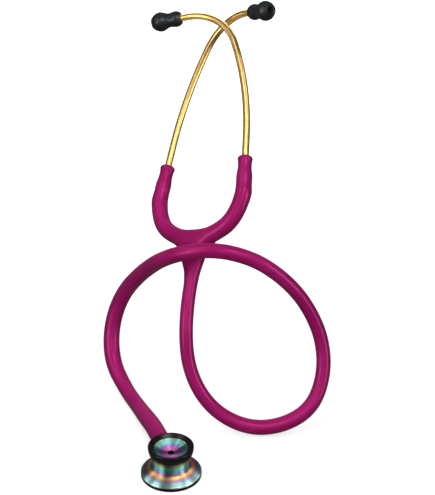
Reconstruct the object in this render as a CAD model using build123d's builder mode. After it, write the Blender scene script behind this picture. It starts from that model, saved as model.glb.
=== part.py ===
from build123d import *
from math import cos, pi, radians, sin, tan
import os

os.makedirs("parts", exist_ok=True)

# A double-headed stethoscope. The chestpiece stands on its diaphragm, with the middle of the
# diaphragm's face at the origin. Its hose stands up in one open loop that comes round in front
# of the yoke, and the headset leans back from the yoke. Millimetres throughout, +Z up.

# ---- Chestpiece: a turned head, a soft ring on its bell and a rim round its diaphragm ----
rim_radius = 18.0
rim_height = 2.1
rim_edge_round = 0.5
rim_wall = 1.1              # of the rim, outside the plate's hub
plate_step = 0.1            # how far the metal plate stays inside the rim
plate_edge_height = 0.7     # upright edge of the plate, above the rim
bead_depth = 0.3            # of the rim's snap bead and its groove
bead_width = 0.4
diaphragm_thickness = 0.35
diaphragm_flange = 1.4      # how far the clamped edge stands out past the face
diaphragm_gap = 0.1         # between the diaphragm's edges and the rim
diaphragm_seat_wall = 0.5   # of the rim, round the clamped edge
cavity_margin = 0.2         # of the shallow cone over the diaphragm, past the diaphragm's face
cavity_edge_depth = 0.5
cavity_apex_height = 3.4
neck_foot_radius = 11.8
neck_foot_height = 6.15
neck_foot_fillet = 1.6
dome_slope = 9.0            # of the plate beside the neck, degrees below level
waist_radius = 10.9
waist_height = 10.3
bell_wall_radius = 12.0
bell_mouth_radius = 10.05
bell_hole_radius = 2.0
bell_wall_height = 3.95       # from the ring's foot to the bell's lip
bell_depth = 3.25
ring_radius = 13.55
ring_belly_radius = 13.3    # half-way down the ring's bowl-shaped wall
ring_foot_radius = 12.6
ring_foot_height = 14.8
ring_height = 5.8
ring_crown_inner = 12.2     # the flat crown of the ring
ring_crown_outer = 12.75
ring_foot_chamfer = 0.25
ring_tip_height = 0.2
ring_groove_rise = 1.6      # above the ring's foot
ring_groove_width = 1.0
ring_groove_depth = 0.4
diaphragm_hole_radius = 1.5

# ---- Valve stem: the hollow shaft that the head turns on ----
stem_azimuth = 108.0        # degrees from +X, towards the hose
stem_height = 10.2
stem_radius = 3.0
stem_clearance = 0.05
stem_bore_radius = 1.6
stem_blind_end = -5.0       # along the stem, from the middle of the head
stem_bore_end = -1.8
port_radius = 1.4
boss_radius = 4.6
boss_end = 11.9
collar_start = 12.0
collar_length = 2.0
collar_radius = 3.7
shank_radius = 3.2
hose_end = 16.5             # where the hose's end face meets the stem
barb_radius = 2.2
barb_height = 0.45
barb_pitch = 4.0
barb_length = 3.0
barb_count = 3
barb_start = 18.0
clip_start = 7.9
clip_groove_width = 0.7
clip_groove_depth = 0.5
clip_reach = 0.6            # how far its groove goes into the head's bore
clip_clearance = 0.05
clip_opening = 2.6

# ---- Click stop: a sprung ball under the stem that drops into a dimple each half-turn ----
detent_along = 4.6
ball_radius = 0.9
ball_clearance = 0.07
track_depth = 0.32
dimple_extra = 0.12
pocket_radius = 1.0
screw_radius = 1.3
screw_top_height = 3.9
screw_length = 1.1
screw_slot = 0.4
coil_radius = 0.7
coil_wire_radius = 0.13
coil_turns = 3

# ---- Hose ----
hose_radius = 4.6
hose_bore_radius = 2.2
fillet_share = 0.45         # of the shorter run, that each bend of the hose takes up

# ---- Headset: yoke, arms, ear tubes and eartips, in the headset's own plane ----
headset_origin = (13.3, 100.9, 106.1)
headset_lean_back = 43.0
headset_side_tilt = 8.0
headset_turn = 38.0
yoke_tail = 36.0            # from the headset's origin down to the hose
yoke_tail_shift = 2.4       # across, towards the right arm, at the hose
yoke_sections = [           # (distance down, width, thickness, shift) of the flared tail
    (24.5, 10.2, 9.5, 2.2),
    (16.7, 15.0, 10.0, 1.5),
    (6.5, 21.5, 10.4, 0.8),
    (1.0, 19.0, 10.0, 0.2),
]
arm_radius = 4.95
arm_root_radius = 5.4
arm_bore_radius = 3.0
arm_route = [(0.0, -1.1), (11.0, -1.1), (27.5, 7.8)]
arm_root_share = 0.45       # of the second run, that belongs to the yoke
arm_mouth = (31.74, 49.06, 0.85)
arm_lean_in = 5.07          # degrees
arm_flex_place = (31.0, 25.0, 0.0)    # where each arm's flex axis passes
arm_splay = 1.59            # one arm a little forward and the other back, degrees
arm_corner_below_mouth = 28.5
sleeve_length = 20.5
mouth_lip_radius = 4.65
mouth_lip_depth = 1.1
mouth_waist_radius = 4.35
mouth_waist_depth = 4.8
mouth_taper_end = 12.0
mouth_grip = 8.0
mouth_round = 0.5
ear_tube_radius = 2.2
ear_tube_bore_radius = 1.6
tube_clearance = 0.05
tube_seated_length = 14.0
tube_straight = {"right": 12.65, "left": 14.0}    # above the mouth
tube_sweep_radius, tube_sweep_angle = 192.0, 19.8
tube_bend_radius, tube_bend_angle = 31.9, 74.8
tube_end_straight = {"right": 8.9, "left": 7.8}
tube_in_eartip = 4.0
ear_tube_twist = {"right": 17.6, "left": -10.8}

# ---- Leaf spring inside the arms, riveted to a collar on each ear tube ----
leaf_thickness = 0.5
leaf_width = 4.4
leaf_end = 19.5             # below the mouth
spring_collar_radius = 2.9
spring_collar_length = 5.0
spring_collar_end = 15.0    # below the mouth
tongue_length = 5.0
tongue_thickness = 1.4
tongue_width = 4.6
rivet_radius = 0.45
rivet_head_radius = 0.8
rivet_head_height = 0.35
rivet_places = (16.4, 18.4)

# ---- Soft eartips ----
eartip_start = 4.0          # before the middle of the neck bead
eartip_foot_radius = 3.9
eartip_bead_radius = 5.05
eartip_waist = (3.8, 4.5)   # distance past the bead, radius
eartip_bulb = (9.4, 6.25)
eartip_shoulder = (13.3, 5.15)
eartip_nose = (15.3, 3.5)
eartip_mouth_radius = 2.6
eartip_mouth_depth = 0.5
eartip_bore_radius = 2.0

# ---- Frames that the pieces are placed by ----
plate_radius = rim_radius - plate_step
bell_lip_height = ring_foot_height + bell_wall_height
bell_cone_foot_height = bell_lip_height - bell_depth
ring_groove_height = ring_foot_height + ring_groove_rise
hub_radius = rim_radius - rim_wall
diaphragm_face_radius = hub_radius - diaphragm_flange - diaphragm_seat_wall
cavity_radius = diaphragm_face_radius + cavity_margin
up = Vector(0, 0, 1)
stem_dir = Vector(cos(radians(stem_azimuth)), sin(radians(stem_azimuth)), 0)
stem_centre = Vector(0, 0, stem_height)
stem_axis = Axis(stem_centre, stem_dir)
stem_profile_plane = Plane(origin=stem_centre, x_dir=stem_dir, z_dir=stem_dir.cross(up))
rim_top = rim_height
seat_height = 2 * diaphragm_thickness
ring_top = ring_foot_height + ring_height
ring_shoulder_height = ring_top - (ring_radius - ring_crown_outer)


def on_stem(distance):
    """The plane across the stem at a distance along it from the middle of the head."""
    return Plane(origin=stem_centre + stem_dir * distance, x_dir=up, z_dir=stem_dir)


def headset_plane():
    """The plane of the two arms: x to the wearer's side of the right arm, y up the headset."""
    lean = radians(headset_lean_back)
    tilt = radians(headset_side_tilt)
    turn = radians(headset_turn)
    along = Vector(sin(tilt), cos(tilt) * sin(lean), cos(tilt) * cos(lean))
    front = Vector(0, -cos(lean), sin(lean))
    across = along.cross(front)
    return Plane(
        origin=headset_origin,
        x_dir=across * cos(turn) + front * sin(turn),
        z_dir=front * cos(turn) - across * sin(turn),
    )


headset = headset_plane()
arm_planes = {
    "right": headset,
    "left": Plane(origin=headset.origin, x_dir=-headset.x_dir, z_dir=-headset.z_dir),
}
lean_in = radians(arm_lean_in)
splay = radians(arm_splay)
arm_dir = Vector(-sin(lean_in) * cos(splay), cos(lean_in) * cos(splay), sin(splay))
mouth_local = Vector(*arm_mouth)


def along_arm(side, distance):
    """A point on an arm's axis, measured from its mouth and negative down the arm."""
    return arm_planes[side].from_local_coords(mouth_local + arm_dir * distance)


def arm_frame(side, distance=0.0):
    """The plane across an arm: x outwards in the plane of the arms, z along the arm."""
    plane = arm_planes[side]
    axis = plane.from_local_coords(mouth_local + arm_dir) - along_arm(side, 0)
    outwards = plane.z_dir.cross(axis) * -1
    return Plane(origin=along_arm(side, distance), x_dir=outwards, z_dir=axis)


def filleted(points, share=fillet_share):
    """Radii for the corners of a polyline, each as large as its two runs allow."""
    places = [Vector(*point) for point in points]
    runs = [end - start for start, end in zip(places, places[1:])]
    return [
        share * min(before.length, after.length) / tan(radians(before.get_angle(after)) / 2)
        for before, after in zip(runs, runs[1:])
    ]


def arm_points(side):
    """The corners of one arm's centreline, from the middle of the yoke to its mouth."""
    plane = arm_planes[side]
    flat = [plane.from_local_coords(Vector(x, y, 0)) for x, y in arm_route]
    return flat + [along_arm(side, -arm_corner_below_mouth), along_arm(side, 0)]


def root_split(side):
    """Where an arm's root, on the yoke, gives way to its bend."""
    points = arm_points(side)
    return points[1] + (points[2] - points[1]) * arm_root_share


# ---- Chestpiece ----
with BuildPart() as chestpiece_body:
    with BuildSketch(Plane.XZ):
        with BuildLine():
            Polyline(
                (0, cavity_apex_height),
                (cavity_radius, seat_height + cavity_edge_depth),
                (cavity_radius, seat_height),
                (hub_radius, seat_height),
                (hub_radius, rim_top - 2 * bead_width),
                (hub_radius - bead_depth, rim_top - 1.5 * bead_width),
                (hub_radius, rim_top - bead_width),
                (hub_radius, rim_top),
                (plate_radius, rim_top),
                (plate_radius, rim_top + plate_edge_height),
            )
            TangentArc(
                (neck_foot_radius, neck_foot_height),
                (plate_radius, rim_top + plate_edge_height),
                tangent=(cos(radians(dome_slope)), -sin(radians(dome_slope))),
            )
            ThreePointArc(
                (neck_foot_radius, neck_foot_height),
                (waist_radius, waist_height),
                (bell_wall_radius, ring_foot_height),
            )
            Polyline(
                (bell_wall_radius, ring_foot_height),
                (bell_wall_radius, ring_groove_height),
                (bell_wall_radius - ring_groove_depth, ring_groove_height),
                (bell_wall_radius - ring_groove_depth, ring_groove_height + ring_groove_width),
                (bell_wall_radius, ring_groove_height + ring_groove_width),
                (bell_wall_radius, bell_lip_height),
                (bell_mouth_radius, bell_lip_height),
                (bell_hole_radius, bell_cone_foot_height),
                (0, bell_cone_foot_height),
                (0, cavity_apex_height),
            )
        head_face = make_face()
        foot = head_face.vertices().sort_by_distance((neck_foot_radius, neck_foot_height))[0]
        fillet(foot, neck_foot_fillet)
    revolve(axis=Axis.Z)
    with BuildSketch(on_stem(0)):
        Circle(boss_radius)
    extrude(amount=boss_end)
    with BuildSketch(on_stem(stem_blind_end - stem_clearance)):
        Circle(stem_radius + stem_clearance)
    extrude(amount=boss_end - stem_blind_end + 1, mode=Mode.SUBTRACT)
    with BuildSketch(on_stem(clip_start)):
        Circle(stem_radius + clip_reach)
    extrude(amount=clip_groove_width, mode=Mode.SUBTRACT)
    with BuildSketch(Plane.XY.offset(stem_height)):
        Circle(bell_hole_radius)
    extrude(amount=bell_lip_height - stem_height, mode=Mode.SUBTRACT)
    with BuildSketch(Plane.XY):
        Circle(diaphragm_hole_radius)
    extrude(amount=stem_height, mode=Mode.SUBTRACT)
    detent_place = stem_dir * detent_along
    with BuildSketch(Plane(detent_place)):
        Circle(pocket_radius)
    extrude(amount=stem_height, mode=Mode.SUBTRACT)
    with BuildSketch(Plane(detent_place)):
        Circle(screw_radius)
    extrude(amount=screw_top_height, mode=Mode.SUBTRACT)
chestpiece_body.part.label = "chestpiece_body"
export_step(chestpiece_body.part, "parts/chestpiece_body.step")

with BuildPart() as bell_rim:
    with BuildSketch(Plane.XZ):
        with BuildLine():
            Polyline(
                (ring_foot_radius, ring_foot_height + ring_foot_chamfer),
                (ring_foot_radius - ring_foot_chamfer, ring_foot_height),
                (bell_wall_radius, ring_foot_height),
                (bell_wall_radius, ring_groove_height),
                (bell_wall_radius - ring_groove_depth, ring_groove_height),
                (bell_wall_radius - ring_groove_depth, ring_groove_height + ring_groove_width),
                (bell_wall_radius, ring_groove_height + ring_groove_width),
                (bell_wall_radius, bell_lip_height),
                (bell_mouth_radius, bell_lip_height),
                (bell_mouth_radius, bell_lip_height + ring_tip_height),
                (ring_crown_inner, ring_top),
                (ring_crown_outer, ring_top),
            )
            RadiusArc(
                (ring_crown_outer, ring_top),
                (ring_radius, ring_shoulder_height),
                ring_radius - ring_crown_outer,
            )
            ThreePointArc(
                (ring_radius, ring_shoulder_height),
                (ring_belly_radius, (ring_shoulder_height + ring_foot_height) / 2),
                (ring_foot_radius, ring_foot_height + ring_foot_chamfer),
            )
        make_face()
    revolve(axis=Axis.Z)
bell_rim.part.label = "bell_rim"
export_step(bell_rim.part, "parts/bell_rim.step")

with BuildPart() as diaphragm:
    with BuildSketch(Plane.XY):
        Circle(diaphragm_face_radius)
    extrude(amount=diaphragm_thickness)
    with BuildSketch(Plane.XY.offset(diaphragm_thickness)):
        Circle(diaphragm_face_radius + diaphragm_flange)
    extrude(amount=diaphragm_thickness)
diaphragm.part.label = "diaphragm"
export_step(diaphragm.part, "parts/diaphragm.step")

with BuildPart() as diaphragm_rim:
    with BuildSketch(Plane.XZ) as rim_profile:
        with BuildLine():
            Polyline(
                (diaphragm_face_radius + diaphragm_gap, 0),
                (rim_radius, 0),
                (rim_radius, rim_top),
                (hub_radius, rim_top),
                (hub_radius, rim_top - bead_width),
                (hub_radius - bead_depth, rim_top - 1.5 * bead_width),
                (hub_radius, rim_top - 2 * bead_width),
                (hub_radius, seat_height),
                (diaphragm_face_radius + diaphragm_flange + diaphragm_gap, seat_height),
                (diaphragm_face_radius + diaphragm_flange + diaphragm_gap, diaphragm_thickness),
                (diaphragm_face_radius + diaphragm_gap, diaphragm_thickness),
                close=True,
            )
        make_face()
        fillet(rim_profile.vertices().sort_by_distance((rim_radius, 0))[0], rim_edge_round)
    revolve(axis=Axis.Z)
diaphragm_rim.part.label = "diaphragm_rim"
export_step(diaphragm_rim.part, "parts/diaphragm_rim.step")

# ---- Valve stem, its clip and its click stop ----
track_centre = stem_radius - track_depth + ball_radius + ball_clearance
shaft_end = barb_start + barb_pitch * barb_count
with BuildPart() as valve_stem:
    with BuildSketch(stem_profile_plane):
        with BuildLine():
            outline = [
                (stem_blind_end, 0),
                (stem_blind_end, stem_radius),
                (clip_start, stem_radius),
                (clip_start, stem_radius - clip_groove_depth),
                (clip_start + clip_groove_width, stem_radius - clip_groove_depth),
                (clip_start + clip_groove_width, stem_radius),
                (collar_start, stem_radius),
                (collar_start, collar_radius),
                (collar_start + collar_length, collar_radius),
                (collar_start + collar_length, shank_radius),
                (hose_end, shank_radius),
                (hose_end, barb_radius),
            ]
            for index in range(barb_count):
                start = barb_start + index * barb_pitch
                outline += [
                    (start, barb_radius),
                    (start, barb_radius + barb_height),
                    (start + barb_length, barb_radius),
                ]
            outline += [
                (shaft_end, barb_radius),
                (shaft_end, stem_bore_radius),
                (stem_bore_end, stem_bore_radius),
                (stem_bore_end - stem_bore_radius / 2, 0),
            ]
            Polyline(*outline, close=True)
        make_face()
        with Locations((detent_along, track_centre)):
            Circle(ball_radius + ball_clearance, mode=Mode.SUBTRACT)
    revolve(axis=stem_axis)
    with BuildSketch(Plane.XY.offset(stem_height)):
        Circle(port_radius)
    extrude(amount=stem_radius + 1, mode=Mode.SUBTRACT)
    dimple_depth = track_centre - dimple_extra
    for way in (1, -1):
        with Locations(detent_place + Vector(0, 0, stem_height + way * dimple_depth)):
            Sphere(ball_radius + ball_clearance, mode=Mode.SUBTRACT)
valve_stem.part.label = "valve_stem"
export_step(valve_stem.part, "parts/valve_stem.step")

with BuildPart() as stem_clip:
    with BuildSketch(on_stem(clip_start + clip_clearance)):
        Circle(stem_radius + clip_reach - clip_clearance)
        Circle(stem_radius - clip_groove_depth + clip_clearance, mode=Mode.SUBTRACT)
        Rectangle(
            2 * stem_radius,
            clip_opening,
            align=(Align.MIN, Align.CENTER),
            mode=Mode.SUBTRACT,
        )
    extrude(amount=clip_groove_width - 2 * clip_clearance)
stem_clip.part.label = "stem_clip"
export_step(stem_clip.part, "parts/stem_clip.step")

ball_height = stem_height - track_centre
with BuildPart() as detent_ball:
    with Locations(detent_place + Vector(0, 0, ball_height)):
        Sphere(ball_radius)
detent_ball.part.label = "detent_ball"
export_step(detent_ball.part, "parts/detent_ball.step")

coil_height = ball_height - ball_radius - screw_top_height - 2 * coil_wire_radius
with BuildPart() as detent_spring:
    with BuildLine(Plane(detent_place + Vector(0, 0, screw_top_height + coil_wire_radius))):
        coil = Helix(coil_height / coil_turns, coil_height, coil_radius)
    with BuildSketch(Plane(origin=coil @ 0, z_dir=coil % 0)):
        Circle(coil_wire_radius)
    sweep(path=coil, is_frenet=True)
detent_spring.part.label = "detent_spring"
export_step(detent_spring.part, "parts/detent_spring.step")

with BuildPart() as detent_screw:
    with BuildSketch(Plane(detent_place + Vector(0, 0, screw_top_height))):
        Circle(screw_radius)
    extrude(amount=-screw_length)
    with BuildSketch(Plane(detent_place + Vector(0, 0, screw_top_height - screw_length))):
        Rectangle(2 * screw_radius, screw_slot)
    extrude(amount=screw_slot, mode=Mode.SUBTRACT)
detent_screw.part.label = "detent_screw"
export_step(detent_screw.part, "parts/detent_screw.step")

# ---- Hose, from the yoke round its loop to the stem ----
hose_exit = headset.from_local_coords(Vector(yoke_tail_shift, -yoke_tail, 0))
hose_route = [
    tuple(hose_exit),
    (7.56, 62.7, 67.31),
    (9.5, 51.5, 39.5),
    (22.5, 44.5, 17.0),
    (44.0, 40.5, 5.0),
    (66.0, 42.0, 4.7),
    (85.5, 49.5, 12.8),
    (93.5, 62.0, 30.0),
    (92.0, 71.0, 51.0),
    (82.0, 73.5, 73.5),
    (68.0, 72.0, 92.0),
    (49.0, 70.5, 107.0),
    (24.0, 72.5, 112.5),
    (-2.0, 82.0, 103.0),
    (-19.0, 102.0, 81.5),
    (-34.0, 115.0, 57.0),
    (-41.5, 112.0, 34.0),
    (-40.5, 99.5, 15.0),
    (-30.4, 82.0, 4.7),
    (-22.6, 65.0, 4.7),
    (-16.5, 47.5, 8.0),
    (-10.5, 32.3, stem_height),
    tuple(stem_centre + stem_dir * hose_end),
]
hose_radii = filleted(hose_route)
with BuildPart() as tail_tube:
    with BuildLine():
        hose_path = FilletPolyline(*hose_route, radius=hose_radii)
    with BuildSketch(Plane(origin=hose_path @ 0, z_dir=hose_path % 0)):
        Circle(hose_radius)
        Circle(hose_bore_radius, mode=Mode.SUBTRACT)
    sweep(path=hose_path)
tail_tube.part.label = "tail_tube"
export_step(tail_tube.part, "parts/tail_tube.step")

# ---- Yoke: the hose's flared end, with the roots of both arms ----
with BuildPart() as yoke:
    with BuildSketch(Plane(origin=hose_exit, x_dir=headset.x_dir, z_dir=headset.y_dir)):
        Circle(hose_radius)
    for distance, width, thickness, shift in yoke_sections:
        section_centre = headset.from_local_coords(Vector(shift, -distance, 0))
        with BuildSketch(Plane(origin=section_centre, x_dir=headset.x_dir, z_dir=headset.y_dir)):
            Ellipse(width / 2, thickness / 2)
    loft()
    for side in ("right", "left"):
        points = arm_points(side)
        root_points = points[:2] + [root_split(side)]
        with BuildLine() as root_line:
            root_path = FilletPolyline(*root_points, radius=filleted(root_points))
        with BuildSketch(Plane(origin=root_path @ 0, z_dir=root_path % 0)):
            Circle(arm_root_radius)
        sweep(path=root_path)
    with Locations(headset.from_local_coords(Vector(*arm_route[0], 0))):
        Sphere(arm_root_radius)
    for side in ("right", "left"):
        points = arm_points(side)
        root_points = points[:2] + [root_split(side)]
        with BuildLine() as root_line:
            root_path = FilletPolyline(*root_points, radius=filleted(root_points))
        with BuildSketch(Plane(origin=root_path @ 0, z_dir=root_path % 0)):
            Circle(arm_bore_radius)
        sweep(path=root_path, mode=Mode.SUBTRACT)
    with BuildSketch(Plane(origin=hose_exit, x_dir=headset.x_dir, z_dir=headset.y_dir)):
        Circle(hose_bore_radius)
    extrude(amount=yoke_tail + arm_route[0][1], mode=Mode.SUBTRACT)
yoke.part.label = "yoke"
export_step(yoke.part, "parts/yoke.step")

# ---- Arms: a flexing bend and a sleeve that grips the ear tube ----
for side in ("right", "left"):
    points = arm_points(side)
    bend_points = [root_split(side)] + points[2:4] + [along_arm(side, -sleeve_length)]
    with BuildPart() as bend:
        with BuildLine():
            bend_path = FilletPolyline(*bend_points, radius=filleted(bend_points))
        with BuildSketch(Plane(origin=bend_path @ 0, z_dir=bend_path % 0)):
            Circle(arm_radius)
            Circle(arm_bore_radius, mode=Mode.SUBTRACT)
        sweep(path=bend_path)
    bend.part.label = f"{side}_bend"
    export_step(bend.part, f"parts/{side}_bend.step")

    mouth = arm_frame(side)
    sleeve_profile = Plane(origin=mouth.origin, x_dir=mouth.x_dir, z_dir=-mouth.y_dir)
    with BuildPart() as sleeve:
        with BuildSketch(sleeve_profile):
            with BuildLine():
                Polyline(
                    (arm_radius, -mouth_taper_end),
                    (arm_radius, -sleeve_length),
                    (arm_bore_radius, -sleeve_length),
                    (arm_bore_radius, -mouth_grip),
                    (ear_tube_radius + tube_clearance, -mouth_grip),
                    (ear_tube_radius + tube_clearance, 0),
                    (mouth_lip_radius - mouth_round, 0),
                )
                Spline(
                    (mouth_lip_radius - mouth_round, 0),
                    (mouth_lip_radius, -mouth_lip_depth),
                    (mouth_waist_radius, -mouth_waist_depth),
                    (arm_radius, -mouth_taper_end),
                    tangents=[(1, 0), (0, -1)],
                )
            make_face()
        revolve(axis=Axis(mouth.origin, mouth.z_dir))
    sleeve.part.label = f"{side}_sleeve"
    export_step(sleeve.part, f"parts/{side}_sleeve.step")

# ---- Leaf spring: one strip through both arms ----
leaf_points = [
    headset.to_local_coords(along_arm("left", -leaf_end)),
    headset.to_local_coords(along_arm("left", -arm_corner_below_mouth)),
    (-arm_route[2][0], arm_route[2][1]),
    (-arm_route[1][0], arm_route[1][1]),
    arm_route[1],
    arm_route[2],
    headset.to_local_coords(along_arm("right", -arm_corner_below_mouth)),
    headset.to_local_coords(along_arm("right", -leaf_end)),
]
leaf_points = [Vector(*tuple(point)[:2]) for point in leaf_points]
with BuildPart() as leaf_spring:
    with BuildSketch(headset):
        with BuildLine():
            FilletPolyline(*leaf_points, radius=filleted(leaf_points))
        trace(line_width=leaf_thickness)
    extrude(amount=leaf_width / 2, both=True)
    for side in ("right", "left"):
        for place in rivet_places:
            hole_frame = arm_frame(side, -place)
            with BuildSketch(Plane(origin=hole_frame.origin, z_dir=hole_frame.x_dir)):
                Circle(rivet_radius)
            extrude(amount=leaf_thickness * 2, both=True, mode=Mode.SUBTRACT)
leaf_spring.part.label = "leaf_spring"
export_step(leaf_spring.part, "parts/leaf_spring.step")

# ---- Ear tubes, with the collars and rivets that fix them to the spring ----
for side in ("right", "left"):
    mouth = arm_frame(side)
    twist = radians(ear_tube_twist[side])
    arm_front = mouth.x_dir.cross(mouth.z_dir)
    bend_side = -mouth.x_dir * cos(twist) + arm_front * sin(twist)
    tube_plane = Plane(origin=mouth.origin, x_dir=mouth.z_dir, z_dir=mouth.z_dir.cross(bend_side))
    with BuildPart() as ear_tube:
        with BuildLine(tube_plane) as tube_line:
            straight = Line((-tube_seated_length, 0), (tube_straight[side], 0))
            long_arc = JernArc(straight @ 1, straight % 1, tube_sweep_radius, tube_sweep_angle)
            ear_bend = JernArc(long_arc @ 1, long_arc % 1, tube_bend_radius, tube_bend_angle)
            tip_dir = ear_bend % 1
            Line(ear_bend @ 1, ear_bend @ 1 + tip_dir * (tube_end_straight[side] + tube_in_eartip))
        with BuildSketch(Plane(origin=straight @ 0, z_dir=mouth.z_dir)):
            Circle(ear_tube_radius)
            Circle(ear_tube_bore_radius, mode=Mode.SUBTRACT)
        sweep(path=tube_line.wires()[0])
    ear_tube.part.label = f"{side}_ear_tube"
    export_step(ear_tube.part, f"parts/{side}_ear_tube.step")

    with BuildPart() as spring_collar:
        with BuildSketch(arm_frame(side, -spring_collar_end)):
            Circle(spring_collar_radius)
            Circle(ear_tube_radius + tube_clearance, mode=Mode.SUBTRACT)
        extrude(amount=spring_collar_length)
        with BuildSketch(arm_frame(side, -spring_collar_end)):
            with Locations((leaf_thickness / 2, 0)):
                Rectangle(tongue_thickness, tongue_width, align=(Align.MIN, Align.CENTER))
        extrude(amount=-tongue_length)
        for place in rivet_places:
            hole_frame = arm_frame(side, -place)
            with BuildSketch(Plane(origin=hole_frame.origin, z_dir=hole_frame.x_dir)):
                Circle(rivet_radius)
            extrude(amount=2 * tongue_thickness, mode=Mode.SUBTRACT)
    spring_collar.part.label = f"{side}_spring_collar"
    export_step(spring_collar.part, f"parts/{side}_spring_collar.step")

    with BuildPart() as rivets:
        for place in rivet_places:
            rivet_frame = arm_frame(side, -place)
            head_top = rivet_frame.origin - rivet_frame.x_dir * (leaf_thickness / 2)
            with BuildSketch(Plane(origin=head_top, z_dir=rivet_frame.x_dir)):
                Circle(rivet_radius)
            extrude(amount=leaf_thickness + tongue_thickness)
            with BuildSketch(Plane(origin=head_top, z_dir=rivet_frame.x_dir)):
                Circle(rivet_head_radius)
            extrude(amount=-rivet_head_height)
    rivets.part.label = f"{side}_spring_rivets"
    export_step(rivets.part, f"parts/{side}_spring_rivets.step")

    bead_centre = ear_bend @ 1 + tip_dir * tube_end_straight[side]
    tip_side = tube_plane.z_dir
    tip_plane = Plane(origin=bead_centre, x_dir=tip_side, z_dir=tip_side.cross(tip_dir))
    with BuildPart() as eartip:
        with BuildSketch(tip_plane):
            with BuildLine():
                Spline(
                    (eartip_foot_radius, -eartip_start),
                    (eartip_bead_radius, 0),
                    (eartip_waist[1], eartip_waist[0]),
                    (eartip_bulb[1], eartip_bulb[0]),
                    (eartip_shoulder[1], eartip_shoulder[0]),
                    (eartip_nose[1], eartip_nose[0]),
                )
                Polyline(
                    (eartip_nose[1], eartip_nose[0]),
                    (eartip_mouth_radius, eartip_nose[0] - eartip_mouth_depth),
                    (eartip_bore_radius, eartip_nose[0] - 3 * eartip_mouth_depth),
                    (eartip_bore_radius, tube_in_eartip),
                    (ear_tube_radius, tube_in_eartip),
                    (ear_tube_radius, -eartip_start),
                    (eartip_foot_radius, -eartip_start),
                )
            make_face()
        revolve(axis=Axis(bead_centre, tip_dir))
    eartip.part.label = f"{side}_eartip"
    export_step(eartip.part, f"parts/{side}_eartip.step")
    print(side, "eartip bead", bead_centre, "pointing", tip_dir)
    print(side, "flex axis", arm_planes[side].from_local_coords(Vector(*arm_flex_place)))

print("hose radii", [round(radius, 1) for radius in hose_radii])
print("hose length", round(hose_path.length, 1))
print("hose volume", round(tail_tube.part.volume), "section x length",
      round(pi * (hose_radius**2 - hose_bore_radius**2) * hose_path.length))
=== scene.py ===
import math

import bmesh
import bpy
import numpy as np
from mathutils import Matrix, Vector

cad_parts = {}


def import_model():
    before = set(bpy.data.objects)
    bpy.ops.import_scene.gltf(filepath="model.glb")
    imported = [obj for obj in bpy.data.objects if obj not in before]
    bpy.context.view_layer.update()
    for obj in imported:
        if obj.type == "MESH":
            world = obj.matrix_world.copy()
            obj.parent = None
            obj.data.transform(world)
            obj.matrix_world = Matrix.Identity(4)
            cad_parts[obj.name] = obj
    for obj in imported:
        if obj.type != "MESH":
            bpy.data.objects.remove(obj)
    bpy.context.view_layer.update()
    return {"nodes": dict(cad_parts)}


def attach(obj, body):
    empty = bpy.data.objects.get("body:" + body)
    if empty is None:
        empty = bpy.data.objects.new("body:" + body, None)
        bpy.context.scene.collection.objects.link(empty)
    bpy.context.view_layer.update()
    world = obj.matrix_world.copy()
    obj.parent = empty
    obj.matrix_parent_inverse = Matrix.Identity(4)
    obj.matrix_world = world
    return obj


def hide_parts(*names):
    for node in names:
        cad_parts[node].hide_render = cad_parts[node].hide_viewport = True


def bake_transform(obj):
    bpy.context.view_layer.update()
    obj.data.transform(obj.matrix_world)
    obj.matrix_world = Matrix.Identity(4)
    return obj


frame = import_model()
nodes = frame["nodes"]
MM = 0.001

# ---------------------------------------------------------------- materials


def linear(code):
    """An sRGB hex colour as the linear RGBA that the shader takes."""
    parts = [int(code[i:i + 2], 16) / 255 for i in (1, 3, 5)]
    return [p / 12.92 if p <= 0.04045 else ((p + 0.055) / 1.055) ** 2.4 for p in parts] + [1.0]


def add(tree, kind, values=None, links=None, stops=(), **settings):
    """One node: settings, its sockets' values, what feeds them, and a colour ramp's stops."""
    made = tree.nodes.new(kind)
    for key, value in settings.items():
        setattr(made, key, value)
    for key, value in (values or {}).items():
        made.inputs[key].default_value = value
    for key, source in (links or {}).items():
        tree.links.new(source, made.inputs[key])
    if stops:
        elements = made.color_ramp.elements
        while len(elements) < len(stops):
            elements.new(1.0)
        for element, (position, code) in zip(elements, stops):
            element.position = position
            element.color = linear(code)
    return made


def finish_material(name, values):
    """A material with an empty Principled shader, its object-space coordinates in millimetres."""
    material = bpy.data.materials.new(name)
    material.use_nodes = True
    tree = material.node_tree
    shader = tree.nodes["Principled BSDF"]
    for key, value in values.items():
        shader.inputs[key].default_value = value
    place = add(tree, "ShaderNodeTexCoord").outputs["Object"]
    to_millimetres = {1: (1 / MM, 1 / MM, 1 / MM)}
    place = add(tree, "ShaderNodeVectorMath", to_millimetres, {0: place}, operation="MULTIPLY")
    return material, tree, shader, place.outputs[0]


def polish(tree, shader, pattern, smoothest, roughest):
    """The roughness wanders between two values with a texture's pattern."""
    limits = {"To Min": smoothest, "To Max": roughest}
    rough = add(tree, "ShaderNodeMapRange", limits, {"Value": pattern.outputs["Fac"]})
    tree.links.new(rough.outputs["Result"], shader.inputs["Roughness"])


def dye(tree, shader, pattern, thin, thick):
    """The colour wanders between two sRGB hex codes with a texture's pattern."""
    stops = [(0.3, thin), (0.7, thick)]
    colour = add(tree, "ShaderNodeValToRGB", {}, {"Fac": pattern.outputs["Fac"]}, stops)
    colour.color_ramp.interpolation = "EASE"
    tree.links.new(colour.outputs["Color"], shader.inputs["Base Color"])


def emboss(tree, shader, pattern, strength, depth):
    """A fine relief with a texture's pattern, its depth in metres."""
    size = {"Strength": strength, "Distance": depth}
    relief = add(tree, "ShaderNodeBump", size, {"Height": pattern.outputs["Fac"]})
    tree.links.new(relief.outputs["Normal"], shader.inputs["Normal"])


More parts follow.
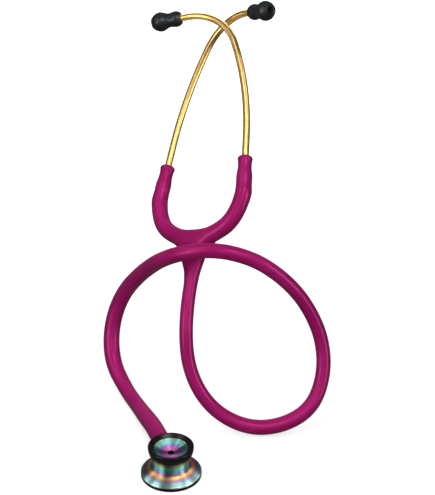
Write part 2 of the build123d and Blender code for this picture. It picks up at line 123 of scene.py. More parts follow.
def soft_vinyl():
    """Dip-moulded plasticised PVC: raspberry all through, its satin skin tinted by the dye."""
    material, tree, shader, place = finish_material(
        "soft_vinyl",
        {
            "Roughness": 0.28,
            "IOR": 1.53,
            "Specular IOR Level": 0.5,
            "Specular Tint": linear("#ff70b8"),
        },
    )
    clouds = add(tree, "ShaderNodeTexNoise", {"Scale": 0.05, "Detail": 3.0}, {"Vector": place})
    dye(tree, shader, clouds, "#8b1055", "#981a5f")
    bloom = add(tree, "ShaderNodeTexNoise", {"Scale": 0.08, "Detail": 1.0}, {"Vector": place})
    polish(tree, shader, bloom, 0.27, 0.31)
    ripple = add(tree, "ShaderNodeTexNoise", {"Scale": 0.4, "Detail": 1.0}, {"Vector": place})
    emboss(tree, shader, ripple, 0.06, 0.0001)
    return material


def gold_anodising():
    """Drawn aluminium tube, gold anodised: metal seen through a clear dyed oxide layer."""
    material, tree, shader, place = finish_material(
        "gold_anodising",
        {"Metallic": 1.0, "Roughness": 0.3, "Coat Weight": 0.5, "Coat Roughness": 0.16},
    )
    drawn_out = {1: (1.0, 1.0, 0.08)}   # the grain runs upwards
    place = add(tree, "ShaderNodeVectorMath", drawn_out, {0: place}, operation="MULTIPLY")
    grain = add(
        tree, "ShaderNodeTexNoise", {"Scale": 0.35, "Detail": 2.0}, {"Vector": place.outputs[0]}
    )
    dye(tree, shader, grain, "#d6ac5c", "#dfb669")
    polish(tree, shader, grain, 0.28, 0.33)
    return material


def black_rubber():
    """Moulded thermoplastic rubber: near black and satin."""
    material, tree, shader, place = finish_material(
        "black_rubber", {"Roughness": 0.3, "IOR": 1.5, "Specular IOR Level": 0.3}
    )
    clouds = add(tree, "ShaderNodeTexNoise", {"Scale": 0.3, "Detail": 2.0}, {"Vector": place})
    dye(tree, shader, clouds, "#0c0a0a", "#141110")
    grain = add(tree, "ShaderNodeTexNoise", {"Scale": 2.5, "Detail": 3.0}, {"Vector": place})
    polish(tree, shader, grain, 0.24, 0.36)
    emboss(tree, shader, grain, 0.12, 0.00005)
    return material


def eartip_silicone():
    """Soft moulded silicone, dark slate, with a matt skin."""
    material, tree, shader, place = finish_material(
        "eartip_silicone", {"Roughness": 0.36, "IOR": 1.43, "Specular IOR Level": 0.5}
    )
    clouds = add(tree, "ShaderNodeTexNoise", {"Scale": 0.4, "Detail": 3.0}, {"Vector": place})
    dye(tree, shader, clouds, "#181b1d", "#222629")
    grain = add(tree, "ShaderNodeTexNoise", {"Scale": 1.6, "Detail": 3.0}, {"Vector": place})
    polish(tree, shader, grain, 0.3, 0.42)
    return material


# What the oxide film shows along the turned profile, from the neck's top to the plate's edge, with
# a painted highlight along that edge: the place is the radius minus the height, in millimetres,
# both counted from the neck's foot.
neck_and_plate_tint = [
    (-8.5, "#5a5546"), (-6.0, "#84876a"), (-4.8, "#7fb58e"), (-3.4, "#5cb39a"), (-2.2, "#4f9fa6"),
    (-1.0, "#667fa6"), (0.2, "#8a6590"), (1.2, "#a76a72"), (2.0, "#cfae66"), (3.0, "#ecd07c"),
    (3.9, "#e2b07c"), (4.9, "#c4867a"), (5.9, "#967690"), (7.0, "#7890a6"), (8.4, "#7cb0aa"),
    # The last stop is a painted highlight: a thin pale line along the plate's edge.
    (10.2, "#80a19c"), (10.6, "#bcc9c4"),
]
# The same inside the bell, against the distance from its middle.
cone_tint = [
    (0.0, "#8f4a86"), (3.0, "#b8689f"), (4.6, "#b467ab"), (5.8, "#9770b4"), (6.8, "#6ca0bc"),
    (8.0, "#6fbcb4"), (9.4, "#7db09c"), (12.0, "#86a88e"),
]
NECK_FOOT = (11.0, 7.0)     # radius and height
CONE_EDGE = 10.4
CONE_FLOOR = 13.0
BORE_RADIUS = 2.04
FILM_DRIFT = 2.4            # how far the rings wander, in all
CONE_SHEEN_LEAN = (0.34, 0.12)    # how much wider the cone's rings are in front, and closer behind: painted sheen


def tint_bands(tree, place, stops):
    """The film's colour at a place along its list of (millimetres, sRGB hex)."""
    first, last = stops[0][0], stops[-1][0]
    share = add(
        tree, "ShaderNodeMapRange", {"From Min": first, "From Max": last}, {"Value": place}
    )
    scaled = [((at - first) / (last - first), code) for at, code in stops]
    colour = add(tree, "ShaderNodeValToRGB", {}, {"Fac": share.outputs["Result"]}, scaled)
    return colour.outputs["Color"]


def heat_tint():
    """Turned steel with an interference oxide: its colour runs in rings, its polish is turned."""
    material, tree, shader, place = finish_material(
        "heat_tint",
        {"Metallic": 1.0, "Roughness": 0.4, "Anisotropic": 0.96, "Anisotropic Rotation": 0.25},
    )

    axes = add(tree, "ShaderNodeSeparateXYZ", links={"Vector": place})
    flat = add(tree, "ShaderNodeCombineXYZ", links={0: axes.outputs["X"], 1: axes.outputs["Y"]})
    radius = add(tree, "ShaderNodeVectorMath", links={0: flat.outputs[0]}, operation="LENGTH")
    clouds = add(tree, "ShaderNodeTexNoise", {"Scale": 0.09, "Detail": 1.0}, {"Vector": place})
    known = {
        "radius": radius.outputs["Value"],
        "y": axes.outputs["Y"],
        "height": axes.outputs["Z"],
        "clouds": clouds.outputs["Fac"],
    }
    # Each sum's name, what it does, and its two terms: what is known by then, or numbers.
    # The cone's rings are drawn wider in front and closer behind: a painted sheen, standing for
    # the film's colours shifting with the angle they are seen at.
    sums = [
        ("swing", "SUBTRACT", "clouds", 0.5),
        ("drift", "MULTIPLY", "swing", FILM_DRIFT),
        ("down_and_out", "SUBTRACT", "radius", "height"),
        ("from_foot", "SUBTRACT", "down_and_out", NECK_FOOT[0] - NECK_FOOT[1]),
        ("outside", "ADD", "from_foot", "drift"),
        ("in_front", "MINIMUM", "y", 0.0),
        ("wider", "MULTIPLY", "in_front", CONE_SHEEN_LEAN[0]),
        ("behind", "MAXIMUM", "y", 0.0),
        ("closer", "MULTIPLY", "behind", CONE_SHEEN_LEAN[1]),
        ("lean", "ADD", "wider", "closer"),
        ("leant", "ADD", "radius", "lean"),
        ("inside", "ADD", "leant", "drift"),
        ("in_cone", "LESS_THAN", "radius", CONE_EDGE),
        ("above_floor", "GREATER_THAN", "height", CONE_FLOOR),
        ("in_bell", "MULTIPLY", "in_cone", "above_floor"),
        # in_bore marks the hole that gets the painted shade.
        ("in_bore", "LESS_THAN", "radius", BORE_RADIUS),
    ]
    for name, operation, *terms in sums:
        links = {i: known[term] for i, term in enumerate(terms) if term in known}
        values = {i: term for i, term in enumerate(terms) if term not in known}
        known[name] = add(tree, "ShaderNodeMath", values, links, operation=operation).outputs[0]
    outside = tint_bands(tree, known["outside"], neck_and_plate_tint)
    inside = tint_bands(tree, known["inside"], cone_tint)
    bands = add(
        tree,
        "ShaderNodeMix",
        links={"Factor": known["in_bell"], 6: outside, 7: inside},
        data_type="RGBA",
    )
    # The bored hole is painted nearly black: painted shade down the bore.
    bands = add(
        tree,
        "ShaderNodeMix",
        {7: linear("#140a12")},
        {"Factor": known["in_bore"], 6: bands.outputs[2]},
        data_type="RGBA",
    )
    # Turning grooves, drawn about three times as wide as the real ones so that they show.
    profile = add(tree, "ShaderNodeCombineXYZ", links={0: known["radius"], 1: known["height"]})
    groove = add(
        tree, "ShaderNodeTexNoise", {"Scale": 2.2, "Detail": 3.0}, {"Vector": profile.outputs[0]}
    )
    limits = {"To Min": 0.8, "To Max": 1.18}
    shade = add(tree, "ShaderNodeMapRange", limits, {"Value": groove.outputs["Fac"]})
    grey = add(tree, "ShaderNodeCombineXYZ", links={i: shade.outputs["Result"] for i in range(3)})
    tinted = add(
        tree,
        "ShaderNodeMix",
        {"Factor": 1.0},
        {6: bands.outputs[2], 7: grey.outputs[0]},
        data_type="RGBA",
        blend_type="MULTIPLY",
    )
    tree.links.new(tinted.outputs[2], shader.inputs["Base Color"])
    polish(tree, shader, groove, 0.34, 0.46)
    tangent = add(tree, "ShaderNodeTangent", direction_type="RADIAL", axis="Z")
    tree.links.new(tangent.outputs["Tangent"], shader.inputs["Tangent"])
    return material


def bright_steel():
    """Ground stainless steel for the small hidden fittings and the flat spring."""
    material, tree, shader, place = finish_material(
        "bright_steel", {"Metallic": 1.0, "Roughness": 0.25, "Base Color": linear("#b9b9bb")}
    )
    grain = add(tree, "ShaderNodeTexNoise", {"Scale": 4.0, "Detail": 2.0}, {"Vector": place})
    polish(tree, shader, grain, 0.2, 0.34)
    return material


def resin_sheet():
    """Glass-filled epoxy sheet for the diaphragm: pale, satin, faintly woven."""
    material, tree, shader, place = finish_material(
        "resin_sheet", {"Roughness": 0.45, "IOR": 1.55, "Base Color": linear("#d9d6cc")}
    )
    weave = add(tree, "ShaderNodeTexWave", {"Scale": 1.2, "Distortion": 0.4}, {"Vector": place})
    emboss(tree, shader, weave, 0.1, 0.00005)
    return material


vinyl = soft_vinyl()
gold = gold_anodising()
rubber = black_rubber()
silicone = eartip_silicone()
tint = heat_tint()
steel = bright_steel()
resin = resin_sheet()

node_finish = {
    "chestpiece_body": tint,
    "valve_stem": tint,
    "bell_rim": rubber,
    "diaphragm_rim": rubber,
    "diaphragm": resin,
    "right_eartip": silicone,
    "left_eartip": silicone,
}
for name, node in nodes.items():
    node.data.materials.clear()
    node.data.materials.append(node_finish.get(name, steel))

# ---------------------------------------------------------------- the headset's own plane
headset_origin = np.array([13.3, 100.9, 106.1])
lean_back, side_tilt, turn = (math.radians(angle) for angle in (43.0, 8.0, 38.0))
along = np.array(
    [
        math.sin(side_tilt),
        math.cos(side_tilt) * math.sin(lean_back),
        math.cos(side_tilt) * math.cos(lean_back),
    ]
)
front = np.array([0, -math.cos(lean_back), math.sin(lean_back)])
level = np.cross(along, front)
across = level * math.cos(turn) + front * math.sin(turn)
forward = front * math.cos(turn) - level * math.sin(turn)
to_world = np.array([across, along, forward])


def world(points):
    """Headset coordinates in millimetres to the frame's, in metres."""
    return (headset_origin + np.asarray(points, float) @ to_world) * MM


def half_turn(points, side):
    """The left arm is the right one turned half round the headset's middle line."""
    return np.asarray(points, float) * np.array([side, 1, side])


def spline(points, steps):
    """A smooth curve with these control points: quadratic, through the first and the last."""
    points = np.asarray(points, float)
    t = np.linspace(0, 1, steps + 1)[:, None]
    runs = []
    last = len(points) - 2
    for i in range(1, last + 1):
        start = points[0] if i == 1 else (points[i - 1] + points[i]) / 2
        end = points[-1] if i == last else (points[i] + points[i + 1]) / 2
        run = start * (1 - t) ** 2 + 2 * points[i] * t * (1 - t) + end * t**2
        runs.append(run if i == 1 else run[1:])
    return np.vstack(runs)


lean_in = math.radians(5.07)
splay = math.radians(1.59)
arm_dir = np.array(
    [-math.sin(lean_in) * math.cos(splay), math.cos(lean_in) * math.cos(splay), math.sin(splay)]
)
mouth = np.array([31.74, 49.06, 0.85])
SLEEVE_LENGTH = 24.0        # where the stiff sleeve ends and the arm bends in
SLEEVE_BEND_REACH = 3.5     # how far that bend reaches up the sleeve
sleeve_end = mouth - SLEEVE_LENGTH * arm_dir
arm_controls = [
    (0.0, -1.1, 0.0),
    (8.0, -1.1, 0.0),
    (17.0, 1.6, 0.0),
    (26.2, 7.1, 0.0),
    (31.3, 15.7, 0.0),
    sleeve_end,
    sleeve_end + SLEEVE_BEND_REACH * arm_dir,
    mouth,
]
PATH_STEPS = 24             # of each run of the arms' centreline
arm_line = spline(arm_controls, PATH_STEPS)
YOKE_HALF_SPAN = 21.0       # of the U that belongs to the yoke, each side
TAIL_LENGTH = 36.0

# The arm's radius against the distance down from its mouth: a rolled lip, a waist, the
# thicker sleeve below it and the bend.
arm_profile = [
    (0.0, 3.4), (0.4, 4.0), (1.0, 4.5), (1.8, 4.72), (2.8, 4.56), (4.4, 4.34), (8.6, 4.4),
    (10.2, 4.62), (11.8, 4.88), (14.0, 4.94), (19.6, 4.98), (21.0, 5.1), (32.0, 5.12),
    (60.0, 5.25), (90.0, 5.4),
]


def smooth_steps(stops, at):
    """A smooth curve through a list of (place, value)."""
    places, values = np.array(stops, float).T
    slopes = np.gradient(values, places)
    i = np.clip(np.searchsorted(places, at) - 1, 0, len(places) - 2)
    span = places[i + 1] - places[i]
    t = np.clip((at - places[i]) / span, 0, 1)
    return (
        values[i] * (1 + 2 * t) * (1 - t) ** 2
        + slopes[i] * span * t * (1 - t) ** 2
        + values[i + 1] * t**2 * (3 - 2 * t)
        + slopes[i + 1] * span * t**2 * (t - 1)
    )


def arm_radius(below_mouth):
    """The arm's radius at distances down from its mouth."""
    return smooth_steps(arm_profile, below_mouth)


def lengths(path):
    """The distance along a path at each of its points."""
    return np.r_[0, np.cumsum(np.linalg.norm(np.diff(path, axis=0), axis=1))]


def mesh_piece(name, points, faces, material):
    """A smooth-shaded mesh object with its place in its vertices."""
    data = bpy.data.meshes.new(name)
    data.from_pydata([tuple(point) for point in points], [], faces)
    data.materials.append(material)
    data.polygons.foreach_set("use_smooth", [True] * len(data.polygons))
    piece = bpy.data.objects.new(name, data)
    bpy.context.scene.collection.objects.link(piece)
    return piece


def rings_along(path, radii, segments):
    """Rings of points round a path, each turned as little as possible from the one before."""
    runs = np.diff(path, axis=0)
    runs /= np.linalg.norm(runs, axis=1)[:, None]
    tangents = np.vstack([runs[:1], runs[:-1] + runs[1:], runs[-1:]])
    tangents /= np.linalg.norm(tangents, axis=1)[:, None]
    side = np.cross(tangents[0], forward)
    side /= np.linalg.norm(side)
    angles = np.linspace(0, 2 * math.pi, segments, endpoint=False)
    rings = []
    for place, tangent, radius in zip(path, tangents, radii):
        side = side - tangent * (side @ tangent)
        side /= np.linalg.norm(side)
        other = np.cross(tangent, side)
        circle = np.outer(np.cos(angles), side) + np.outer(np.sin(angles), other)
        rings.append(place + circle * radius)
    return rings


def tube_faces(rings, segments, looped=False):
    """Quads between rings. The last ring joins the first one, or each end has a cap."""
    faces = []
    for i in range(rings if looped else rings - 1):
        here, there = i * segments, (i + 1) % rings * segments
        for j in range(segments):
            k = (j + 1) % segments
            faces.append((here + j, here + k, there + k, there + j))
    if not looped:
        faces.append(tuple(range(segments))[::-1])
        faces.append(tuple((rings - 1) * segments + j for j in range(segments)))
    return faces


# ---------------------------------------------------------------- arms
ARM_SEGMENTS = 48
LIP_RINGS, SLEEVE_RINGS = 12, 50
LIP_LENGTH, LIP_STEP = 2.75, 0.25
MOUTH_BORE = 2.25           # just outside the ear tube
# Over the lip and into the mouth: the radius, and how far past the lip's edge.
mouth_profile = [(3.1, 0.12), (2.8, 0.13), (2.5, 0.03), (MOUTH_BORE, -0.15), (MOUTH_BORE, -3.0)]


def arm_path(side):
    """The arm's centreline across the headset, from its root to its mouth."""
    start = np.argmax(arm_line[:, 0] >= YOKE_HALF_SPAN)
    before, after = arm_line[start - 1], arm_line[start]
    share = (YOKE_HALF_SPAN - before[0]) / (after[0] - before[0])
    root = before + share * (after - before)
    return half_turn(np.vstack([root, arm_line[start:]]), side)


def make_arm(name, side):
    """One arm: a tube with close rings on its sleeve and lip, open as far as the ear tube."""
    path = arm_path(side)
    below = lengths(path)[-1] - lengths(path)
    sleeve = np.linspace(SLEEVE_LENGTH, LIP_LENGTH + LIP_STEP, SLEEVE_RINGS)
    fine = np.r_[below[below > SLEEVE_LENGTH], sleeve, np.linspace(LIP_LENGTH, 0.0, LIP_RINGS)]
    line = np.column_stack([np.interp(-fine, -below, path[:, i]) for i in range(3)])
    direction = half_turn(arm_dir, side)
    rings = rings_along(world(line) / MM, arm_radius(fine), ARM_SEGMENTS)
    tip = world(line[-1]) / MM
    outline = (rings[-1] - tip) / arm_radius(0.0)
    for radius, rise in mouth_profile:
        rings.append(tip + rise * (direction @ to_world) + outline * radius)
    faces = tube_faces(len(rings), ARM_SEGMENTS)
    arm = mesh_piece(name, np.vstack(rings) * MM, faces, vinyl)
    return arm


LEAF_END = 19.5             # below the mouth
LEAF_THICKNESS = 0.5
LEAF_WIDTH = 4.4


def make_leaf_half(name, side):
    """Half of the flat spring in the arms, from the middle of the U to the ear tube's collar."""
    below = lengths(arm_line)[-1] - lengths(arm_line)
    path = arm_line[below >= LEAF_END]
    across = np.cross(np.gradient(path, axis=0), (0, 0, 1))
    across *= LEAF_THICKNESS / 2 / np.linalg.norm(across, axis=1)[:, None]
    wide = np.array([0, 0, LEAF_WIDTH / 2])
    corners = (-across - wide, across - wide, across + wide, -across + wide)
    rings = np.stack([path + corner for corner in corners], axis=1)
    points = world(half_turn(rings.reshape(-1, 3), side))
    leaf = mesh_piece(name, points, tube_faces(len(path), len(corners)), steel)
    leaf.data.shade_flat()
    return leaf


sides = {"right": 1, "left": -1}
for side_name, side in sides.items():
    arm = make_arm(f"{side_name}_arm_skin", side)
    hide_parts(f"{side_name}_bend", f"{side_name}_sleeve")
    leaf = make_leaf_half(f"{side_name}_leaf_half", side)
    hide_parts("leaf_spring")
    for piece in (arm, leaf):
        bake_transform(piece)

# ---------------------------------------------------------------- ear tubes
TUBE_RADIUS = 2.2
TUBE_BORE = 1.6
TUBE_SEATED = 14.0          # inside the arm
TUBE_IN_EARTIP = 4.0
# Above the mouth: a straight, a long curve, the bend to the ear and a short straight.
tube_straights = {"right": (12.65, 8.9), "left": (14.0, 7.8)}
tube_curves = ((192.0, 19.8), (31.9, 74.8))
tube_twist = {"right": 17.6, "left": -10.8}
TUBE_SEGMENTS = 40
TUBE_STEP = 1.2             # degrees of a curve to each ring


def tube_path(side_name):
    """The tube's centreline across its own plane: along the arm, and to the side it bends."""
    start, end = tube_straights[side_name]
    place, heading = np.array([-TUBE_SEATED, 0.0]), 0.0
    path = [place, np.array([0.0, 0.0])]
    place = np.array([start, 0.0])
    path.append(place)
    for radius, sweep in tube_curves:
        steps = int(sweep / TUBE_STEP)
        for _ in range(steps):
            turn_by = math.radians(sweep / steps)
            chord = 2 * radius * math.sin(turn_by / 2)
            way = heading + turn_by / 2
            place = place + chord * np.array([math.cos(way), math.sin(way)])
            heading += turn_by
            path.append(place)
    for run in (end / 2, end / 2 + TUBE_IN_EARTIP):
        place = place + run * np.array([math.cos(heading), math.sin(heading)])
        path.append(place)
    return np.array(path)


for side_name, side in sides.items():
    outwards = np.array([arm_dir[1], -arm_dir[0], 0]) / math.hypot(arm_dir[0], arm_dir[1])
    twist = math.radians(tube_twist[side_name])
    bend_side = np.cross(outwards, arm_dir) * math.sin(twist) - outwards * math.cos(twist)
    flat = tube_path(side_name)
    line = mouth + flat[:, :1] * arm_dir + flat[:, 1:] * bend_side
    line = world(half_turn(line, side)) / MM
    outer = rings_along(line, [TUBE_RADIUS] * len(line), TUBE_SEGMENTS)
    bore = rings_along(line, [TUBE_BORE] * len(line), TUBE_SEGMENTS)[::-1]
    points = np.vstack(outer + bore) * MM
    faces = tube_faces(len(outer + bore), TUBE_SEGMENTS, looped=True)
    tube = mesh_piece(f"{side_name}_ear_tube_skin", points, faces, gold)
    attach(tube, f"{side_name}_arm")
    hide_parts(f"{side_name}_ear_tube")

# ---------------------------------------------------------------- yoke
# The tail's sections: the place along the middle line, half the width, half the thickness,
# how far the section sits to the right of that line, and its squareness (2 is an ellipse).
tail_sections = [
    (-39.0, 4.2, 4.2, 2.4, 2.0), (-36.0, 4.2, 4.2, 2.4, 2.0), (-32.2, 4.2, 4.25, 2.45, 2.0),
    (-29.6, 4.3, 4.4, 2.4, 2.0), (-27.0, 4.55, 4.6, 2.3, 2.0), (-24.4, 4.95, 4.7, 2.2, 2.05),
    (-21.8, 5.6, 4.8, 2.0, 2.1), (-19.3, 6.55, 4.9, 1.7, 2.2), (-16.7, 7.5, 5.0, 1.4, 2.3),
    (-11.0, 9.2, 5.05, 1.1, 2.3), (-8.0, 10.0, 4.8, 0.95, 2.3), (-5.7, 10.6, 4.3, 0.8, 2.3),
    (-3.0, 11.0, 3.4, 0.6, 2.3), (0.0, 11.4, 2.2, 0.4, 2.3),
]
TAIL_TOP = -1.0             # where the tail ends inside the U
FILLET = 5.5                # where the U and the tail flow into each other
FILLET_FADE = 8.0           # the fillet is gone before the arms, over this length
FILLET_END = 1.0            # and this far before them
SPARE_U = 8.0               # of the U past the yoke's ends, cut off later
SPARE_TAIL = 3.0            # of the tail past the hose's end, cut off later
BLANK_SEGMENTS = 32
TAIL_RINGS = 40
SKIN_GRAIN = 0.7            # size of the skin's squares
u_path = np.vstack([half_turn(arm_line, -1)[::-1], arm_line[1:]])
u_below = np.minimum(lengths(u_path), lengths(u_path)[-1] - lengths(u_path))
u_radii = arm_radius(u_below)
near = np.abs(u_path[:, 0]) < YOKE_HALF_SPAN + SPARE_U
u_line, u_radii = u_path[near], u_radii[near]


def tail_sizes(heights):
    """The tail's half width, half thickness, shift and squareness at heights on its line."""
    return [
        smooth_steps([(section[0], section[i]) for section in tail_sections], heights)
        for i in (1, 2, 3, 4)
    ]


def yoke_depth(points):
    """Signed distance, in millimetres, from the moulded yoke: the U and the tail, blended."""
    best = np.full(len(points), np.inf)
    for a, b, ra, rb in zip(u_line, u_line[1:], u_radii, u_radii[1:]):
        run = b - a
        t = np.clip((points - a) @ run / (run @ run), 0, 1)
        gap = np.linalg.norm(points - a - t[:, None] * run, axis=1) - (ra + t * (rb - ra))
        best = np.minimum(best, gap)
    height = points[:, 1]
    wide, deep, shift, square = tail_sizes(height)
    oval = np.abs((points[:, 0] - shift) / wide) ** square + np.abs(points[:, 2] / deep) ** square
    oval = oval ** (1 / square)
    tail = np.maximum((oval - 1) * deep, height - TAIL_TOP)
    to_end = YOKE_HALF_SPAN - FILLET_END - np.abs(points[:, 0])
    reach = FILLET * np.clip(to_end / FILLET_FADE, 0.01, 1)
    mix = np.maximum(reach - np.abs(best - tail), 0) / reach
    return np.minimum(best, tail) - mix**2 * reach / 4


def yoke_slope(points, step=0.02):
    """The outward direction of the yoke's surface at each point."""
    slope = np.column_stack(
        [yoke_depth(points + step * e) - yoke_depth(points - step * e) for e in np.eye(3)]
    )
    return slope / np.linalg.norm(slope, axis=1)[:, None]


def yoke_blank():
    """Two plain tubes for the U and the tail, fused into one skin of even squares."""
    blank = bmesh.new()
    tail = np.linspace(-TAIL_LENGTH - SPARE_TAIL, TAIL_TOP, TAIL_RINGS)
    widths, _, shifts, _ = tail_sizes(tail)
    tail_line = np.column_stack([shifts, tail, np.zeros(len(tail))])
    for line, radii in ((u_line, u_radii), (tail_line, widths)):
        rings = rings_along(line @ to_world, radii, BLANK_SEGMENTS)
        points = np.vstack(rings) @ to_world.T
        verts = [blank.verts.new(tuple(point)) for point in points]
        for face in tube_faces(len(rings), BLANK_SEGMENTS):
            blank.faces.new([verts[i] for i in face])
    data = bpy.data.meshes.new("yoke_blank")
    blank.to_mesh(data)
    blank.free()
    piece = bpy.data.objects.new("yoke_blank", data)
    bpy.context.scene.collection.objects.link(piece)
    remesh = piece.modifiers.new("skin", "REMESH")
    remesh.mode = "VOXEL"
    remesh.voxel_size = SKIN_GRAIN
    graph = bpy.context.evaluated_depsgraph_get()
    skin = bpy.data.meshes.new_from_object(piece.evaluated_get(graph))
    bpy.data.objects.remove(piece)
    solid = bmesh.new()
    solid.from_mesh(skin)
    bpy.data.meshes.remove(skin)
    return solid


def press_to_shape(solid, times):
    """Move the skin onto the moulded yoke's surface."""
    points = np.array([vertex.co for vertex in solid.verts])
    for _ in range(times):
        points = points - yoke_depth(points)[:, None] * yoke_slope(points)
    for vertex, point in zip(solid.verts, points):
        vertex.co = point


def cut_ends(solid):
    """Cut the yoke square and close it where the arms and the hose join."""
    root = arm_path(1)
    outwards = (root[1] - root[0]) / np.linalg.norm(root[1] - root[0])
    for place, normal in (
        (root[0], outwards),
        (half_turn(root[0], -1), half_turn(outwards, -1)),
        (np.array([0, -TAIL_LENGTH, 0]), np.array([0, -1, 0])),
    ):
        geometry = solid.verts[:] + solid.edges[:] + solid.faces[:]
        bmesh.ops.bisect_plane(
            solid, geom=geometry, plane_co=Vector(place), plane_no=Vector(normal), clear_outer=True
        )
        rim = [edge for edge in solid.edges if edge.is_boundary]
        bmesh.ops.holes_fill(solid, edges=rim)


def make_yoke():
    """One moulded skin over the U's middle and the tail."""
    solid = yoke_blank()
    press_to_shape(solid, 4)
    for _ in range(3):
        bmesh.ops.smooth_vert(
            solid, verts=solid.verts, factor=0.5, use_axis_x=True, use_axis_y=True, use_axis_z=True
        )
    press_to_shape(solid, 3)
    cut_ends(solid)
    points = np.array([vertex.co for vertex in solid.verts])
    normals = yoke_slope(points) @ to_world
    data = bpy.data.meshes.new("yoke_skin")
    solid.to_mesh(data)
    solid.free()
    data.vertices.foreach_set("co", world(points).astype(np.float32).ravel())
    data.materials.append(vinyl)
    # Only the flat ends have more than five corners.
    data.polygons.foreach_set("use_smooth", [len(p.vertices) <= 5 for p in data.polygons])
    data.update()
    data.normals_split_custom_set_from_vertices([tuple(n) for n in normals])
    piece = bpy.data.objects.new("yoke_skin", data)
    bpy.context.scene.collection.objects.link(piece)
    return piece


yoke = make_yoke()
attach(yoke, "hose")
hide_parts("yoke")

# ---------------------------------------------------------------- hose
TAIL_SHIFT = 2.4            # of the tail's end, across the headset
hose_exit = world((TAIL_SHIFT, -TAIL_LENGTH, 0)) / MM
stem_azimuth = math.radians(108.0)
stem_dir = np.array([math.cos(stem_azimuth), math.sin(stem_azimuth), 0])
STEM_HEIGHT = 10.2
HOSE_END = 16.5             # along the stem
HOSE_DIAMETER = 9.2
# The hose's route and its diameter there: thinner below the yoke, wide where it has been
# pushed over the chestpiece's barbed stem.
hose_route = [
    (*hose_exit, 8.4),
    (7.56, 62.7, 67.31, 8.4),
    (9.5, 51.5, 39.5, 8.4),
    (22.5, 44.5, 17.0, 8.6),
    (44.0, 40.5, 5.0, 9.3),
    (66.0, 42.0, 4.7, 9.4),
    (85.5, 49.5, 12.8, 9.3),
    (93.5, 62.0, 30.0, 9.0),
    (92.0, 71.0, 51.0, 8.8),
    (82.0, 73.5, 73.5, 8.7),
    (68.0, 72.0, 92.0, 8.8),
    (49.0, 70.5, 107.0, 9.1),
    (24.0, 72.5, 112.5, 9.3),
    (-2.0, 82.0, 103.0, 9.6),
    (-19.0, 102.0, 81.5, 10.0),
    (-34.0, 115.0, 57.0, 10.2),
    (-41.5, 112.0, 34.0, 10.3),
    (-40.5, 99.5, 15.0, 10.4),
    (-30.4, 82.0, 4.7, 9.4),
    (-22.6, 65.0, 4.7, 9.4),
    (-16.5, 47.5, 8.0, 10.4),
    (-10.5, 32.3, 10.2, 10.8),
    (*(stem_dir * HOSE_END + [0, 0, STEM_HEIGHT]), 10.9),
]
curve = bpy.data.curves.new("hose", "CURVE")
curve.dimensions = "3D"
line = curve.splines.new("NURBS")
line.points.add(len(hose_route) - 1)
for point, (*place, diameter) in zip(line.points, hose_route):
    point.co = (*(value * MM for value in place), 1)
    point.radius = diameter / HOSE_DIAMETER
line.order_u = 3
line.use_endpoint_u = True
line.resolution_u = 24
curve.bevel_depth = HOSE_DIAMETER / 2 * MM
curve.bevel_resolution = 10
curve.use_fill_caps = True
curve.materials.append(vinyl)
hose = bpy.data.objects.new("hose", curve)
bpy.context.scene.collection.objects.link(hose)
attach(hose, "hose")
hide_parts("tail_tube")

# ---------------------------------------------------------------- stage, lamps and camera
FLOOR_SIZE = 6.0
FLOOR_GAP = 0.0001          # under the object, so that no two faces share a plane
FLOOR_GLOW = (0.63, 1.0)    # under the object and away from it
GLOW_EDGE = (0.15, 0.6)     # how far from the middle the one turns into the other
MIRRORED = 0.07             # how bright metal and gloss show the white around, next to the eye


def background_share(tree):
    """1 for the camera and through glass, less in a reflection, 0 for the light on the object."""
    path = add(tree, "ShaderNodeLightPath")
    direct = add(
        tree,
        "ShaderNodeMath",
        links={0: path.outputs["Is Camera Ray"], 1: path.outputs["Is Transmission Ray"]},
        operation="MAXIMUM",
    )
    mirrored = add(
        tree,
        "ShaderNodeMath",
        {1: MIRRORED},
        {0: path.outputs["Is Glossy Ray"]},
        operation="MULTIPLY",
    )
    both = add(
        tree,
        "ShaderNodeMath",
        links={0: direct.outputs[0], 1: mirrored.outputs[0]},
        operation="MAXIMUM",
    )
    return both.outputs[0]


def floor_material():
    """White paper, lit from below as on a light table, that keeps a faint shadow."""
    material = bpy.data.materials.new("paper")
    material.use_nodes = True
    tree = material.node_tree
    tree.nodes.clear()
    paper = add(tree, "ShaderNodeBsdfDiffuse", {"Color": linear("#b4b4b4")})
    place = add(tree, "ShaderNodeTexCoord").outputs["Object"]
    away = add(tree, "ShaderNodeVectorMath", links={0: place}, operation="LENGTH")
    strength = add(
        tree,
        "ShaderNodeMapRange",
        {
            "From Min": GLOW_EDGE[0],
            "From Max": GLOW_EDGE[1],
            "To Min": FLOOR_GLOW[0],
            "To Max": FLOOR_GLOW[1],
        },
        {"Value": away.outputs["Value"]},
    )
    strength = add(
        tree,
        "ShaderNodeMath",
        links={0: strength.outputs["Result"], 1: background_share(tree)},
        operation="MULTIPLY",
    )
    glow = add(
        tree,
        "ShaderNodeEmission",
        {"Color": linear("#ffffff")},
        {"Strength": strength.outputs[0]},
    )
    both = add(tree, "ShaderNodeAddShader", links={0: paper.outputs[0], 1: glow.outputs[0]})
    add(tree, "ShaderNodeOutputMaterial", links={"Surface": both.outputs[0]})
    return material


floor_data = bpy.data.meshes.new("floor")
half = FLOOR_SIZE / 2
floor_data.from_pydata(
    [(-half, -half, 0), (half, -half, 0), (half, half, 0), (-half, half, 0)], [], [(0, 1, 2, 3)]
)
floor_data.materials.append(floor_material())
floor = bpy.data.objects.new("floor", floor_data)
floor.location.z = -FLOOR_GAP
floor.visible_diffuse = False
floor.visible_glossy = False
bpy.context.scene.collection.objects.link(floor)

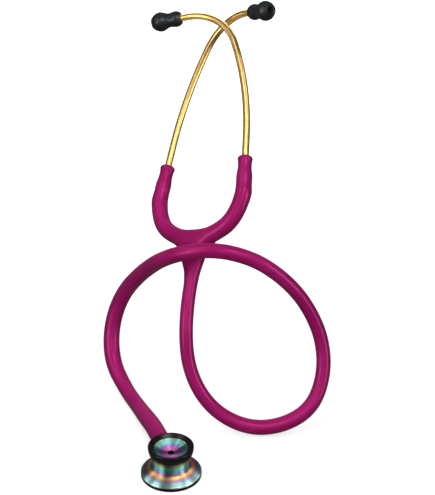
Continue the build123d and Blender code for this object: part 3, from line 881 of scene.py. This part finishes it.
ROOM_LIGHT = 0.05           # the light that comes from all round
world_setup = bpy.data.worlds.new("studio")
bpy.context.scene.world = world_setup
world_setup.use_nodes = True
tree = world_setup.node_tree
tree.nodes.clear()
room = add(
    tree, "ShaderNodeBackground", {"Color": linear("#ffffff"), "Strength": ROOM_LIGHT}
)
white = add(tree, "ShaderNodeBackground", {"Color": linear("#ffffff"), "Strength": 1.0})
mix = add(
    tree,
    "ShaderNodeMixShader",
    links={0: background_share(tree), 1: room.outputs[0], 2: white.outputs[0]},
)
add(tree, "ShaderNodeOutputWorld", links={"Surface": mix.outputs[0]})

middle = Vector((0.02, 0.05, 0.08))     # of the object: the softboxes face it


def lit_alone(name, pieces):
    """A collection of pieces that some softboxes are kept to."""
    group = bpy.data.collections.new(name)
    for piece in pieces:
        group.objects.link(piece)
    return group


chestpiece_metal = lit_alone("chestpiece_metal", [nodes["chestpiece_body"], nodes["valve_stem"]])
ear_tube_gold = lit_alone(
    "ear_tube_gold", [bpy.data.objects[f"{side_name}_ear_tube_skin"] for side_name in sides]
)


def softbox(name, toward, distance, size, radiance, gloss, only=None):
    """A softbox that faces the middle of the object. A gloss one shows only in reflections."""
    lamp = bpy.data.lights.new(name, "AREA")
    lamp.shape = "RECTANGLE"
    lamp.size, lamp.size_y = size
    lamp.energy = radiance * math.pi * size[0] * size[1]
    holder = bpy.data.objects.new(name, lamp)
    direction = Vector(toward).normalized()
    holder.location = middle + direction * distance
    holder.rotation_euler = direction.to_track_quat("Z", "Y").to_euler()
    holder.visible_diffuse = not gloss
    holder.visible_glossy = gloss
    bpy.context.scene.collection.objects.link(holder)
    if only:
        holder.light_linking.receiver_collection = only


# Reflections don't see the floor, so gold_paper stands for it from below.
softboxes = [
    # name, direction, distance, width and height, brightness, only in reflections, only on
    ("front", (0.05, -0.86, 0.56), 1.7, (0.9, 0.9), 9.1, False),
    ("behind", (0.1, 0.87, 0.5), 1.6, (1.2, 1.2), 3.0, False),
    ("above", (-0.3, -0.1, 0.95), 1.5, (1.2, 1.2), 3.3, False),
    ("right_strip", (0.88, -0.42, 0.26), 1.0, (0.26, 0.6), 9.0, True),
    ("left_strip", (-0.82, -0.52, 0.26), 1.0, (0.36, 0.6), 5.0, True),
    ("left_wing", (-0.66, -0.66, 0.42), 1.0, (0.3, 0.6), 1.5, True),
    ("overhead", (0.25, -0.45, 0.86), 1.0, (0.5, 0.3), 8.0, True),
    ("high_left", (-0.62, -0.25, 0.75), 1.0, (0.3, 0.3), 3.5, True),
    ("right_back", (0.85, 0.39, 0.35), 1.0, (0.3, 0.4), 3.0, True, chestpiece_metal),
    ("left_back", (-0.85, 0.2, 0.5), 1.0, (0.3, 0.4), 5.0, True, chestpiece_metal),
    ("ceiling", (0.35, 0.1, 1.0), 1.2, (2.0, 2.0), 1.35, True, chestpiece_metal),
    ("gold_top", (-0.2, -0.2, 0.95), 1.0, (0.3, 0.3), 6.5, True, ear_tube_gold),
    ("gold_right", (0.6, 0.1, 0.8), 1.0, (0.3, 0.3), 4.0, True, ear_tube_gold),
    ("gold_left", (-0.9, 0.1, 0.15), 1.0, (0.4, 0.4), 2.2, True, ear_tube_gold),
    ("gold_paper", (-0.3, -0.3, -0.9), 0.9, (1.6, 1.6), 0.45, True, ear_tube_gold),
    ("gold_back", (0.1, 0.87, 0.5), 1.0, (0.9, 0.5), 4.0, True, ear_tube_gold),
    ("left_wall", (-1.0, -0.35, 0.1), 1.0, (1.2, 1.2), 1.1, True, chestpiece_metal),
    ("right_wall", (0.9, -0.7, 0.1), 1.0, (1.2, 1.2), 1.1, True, chestpiece_metal),
]
for row in softboxes:
    softbox(*row)

CAMERA_DOWN = 28.0          # degrees below level
camera = bpy.data.cameras.new("camera")
camera.lens = 111.89
camera.sensor_width = 36
holder = bpy.data.objects.new("camera", camera)
holder.location = (0.02735, -0.74121, 0.54597)
holder.rotation_euler = (math.radians(90 - CAMERA_DOWN), 0, 0)
bpy.context.scene.collection.objects.link(holder)
bpy.context.scene.camera = holder
bpy.context.scene.view_settings.view_transform = "Standard"
